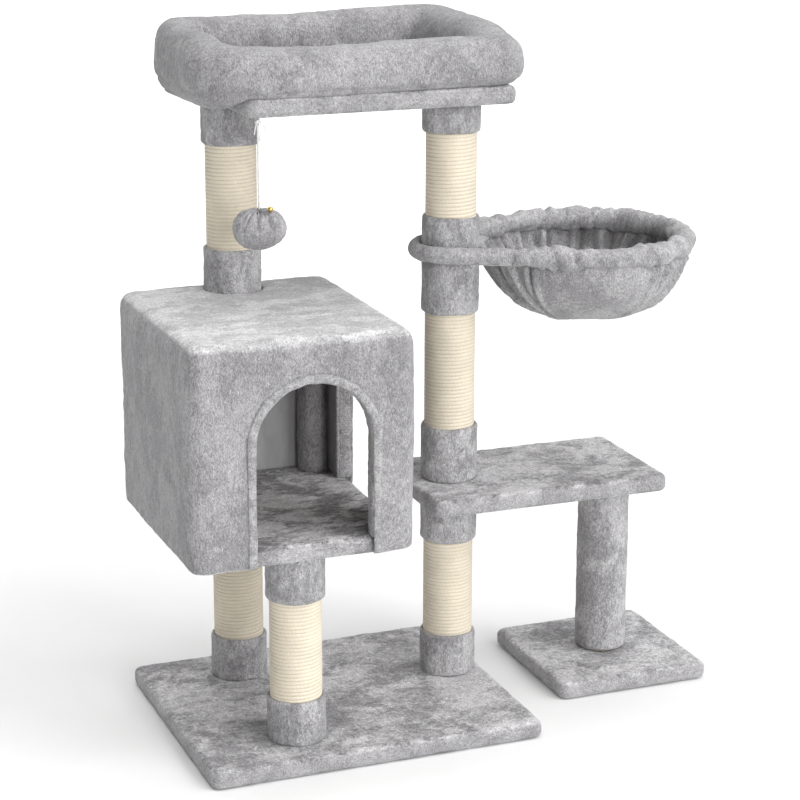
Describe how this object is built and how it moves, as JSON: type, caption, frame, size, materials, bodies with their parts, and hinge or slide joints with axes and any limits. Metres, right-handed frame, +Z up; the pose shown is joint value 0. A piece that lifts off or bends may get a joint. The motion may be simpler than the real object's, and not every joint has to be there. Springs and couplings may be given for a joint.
{
  "type": "cat tree",
  "caption": "Free-standing cat tree: plush condo, railed perch, swivelling basket and step on sisal posts, with a hanging pompom.",
  "frame": {"origin": "on the floor, under the middle of the object's bounding box", "axes": "+Z up, -Y to the front (the condo's front doorway), +X to the right (the basket's side)"},
  "size_m": [0.793, 0.47, 0.942],
  "materials": {
    "mdf": "raw MDF",
    "grey_board": "MDF with grey foil on its inner face",
    "plush": "short light grey plush, brushed in patches",
    "bolster_plush": "short light grey plush over fibre filling",
    "basket_plush": "short light grey plush, gathered",
    "felt": "thin dark felt",
    "paper": "wound brown cardboard",
    "sisal": "natural cream sisal rope, wound close",
    "trim": "stitched grey plush binding",
    "plug": "black moulded plastic",
    "insert": "turned brass",
    "steel": "zinc plated",
    "wire": "dark coated spring wire",
    "string": "white braided elastic",
    "pompom": "grey plush ball, gathered",
    "bell": "polished gold"
  },
  "bodies": {
    "tree": {"base_board": "mdf", "small_base_board": "mdf", "step_board": "mdf", "perch_board": "mdf", "condo_floor_board": "mdf", "condo_roof_board": "mdf", "condo_front_panel": "grey_board", "condo_back_panel": "grey_board", "condo_left_panel": "grey_board", "condo_right_panel": "grey_board", "base_cover": "plush", "small_base_cover": "plush", "step_cover": "plush", "perch_cover": "plush", "condo_floor_cover": "plush", "condo_cover": "plush", "condo_corner_post": "plush", "step_post_wrap": "plush", "base_backing": "felt", "small_base_backing": "felt", "perch_bolster": "bolster_plush", "front_arch_trim": "trim", "side_arch_trim": "trim", "left_lower_tube": "paper", "left_lower_sisal": "sisal", "front_tube": "paper", "front_sisal": "sisal", "right_lower_tube": "paper", "right_lower_sisal": "sisal", "right_middle_tube": "paper", "right_middle_sisal": "sisal", "right_upper_tube": "paper", "right_upper_sisal": "sisal", "left_upper_tube": "paper", "left_upper_sisal": "sisal", "step_tube": "paper", "left_lower_base_sleeve": "plush", "left_lower_top_sleeve": "plush", "front_base_sleeve": "plush", "front_top_sleeve": "plush", "right_lower_base_sleeve": "plush", "right_lower_top_sleeve": "plush", "right_middle_base_sleeve": "plush", "right_joint_sleeve": "plush", "right_upper_top_sleeve": "plush", "left_upper_base_sleeve": "plush", "left_upper_top_sleeve": "plush", "post_plugs": "plug", "post_inserts": "insert", "post_bolts": "steel", "post_washers": "steel", "joining_studs": "steel"},
    "basket": {"basket_hoop": "wire", "basket_rim": "basket_plush", "basket_neck": "basket_plush", "basket_bowl": "basket_plush"},
    "toy_knot": {"toy_knot": "string"},
    "toy": {"toy_cord": "string", "toy_pompom": "pompom", "toy_bell": "bell"}
  },
  "joints": [
    {"name": "basket_swivel", "type": "hinge", "parent": "tree", "child": "basket", "pos_m": [0.039, -0.008, 0.639], "axis": [0, 0, 1], "range_deg": [-75, 80]},
    {"name": "toy_swing_front_back", "type": "hinge", "parent": "tree", "child": "toy_knot", "pos_m": [-0.2515, -0.06, 0.8367], "axis": [1, 0, 0], "range_deg": [-60, 28]},
    {"name": "toy_swing_side", "type": "hinge", "parent": "toy_knot", "child": "toy", "pos_m": [-0.2515, -0.06, 0.8367], "axis": [0, 1, 0], "range_deg": [-60, 60]}
  ]
}
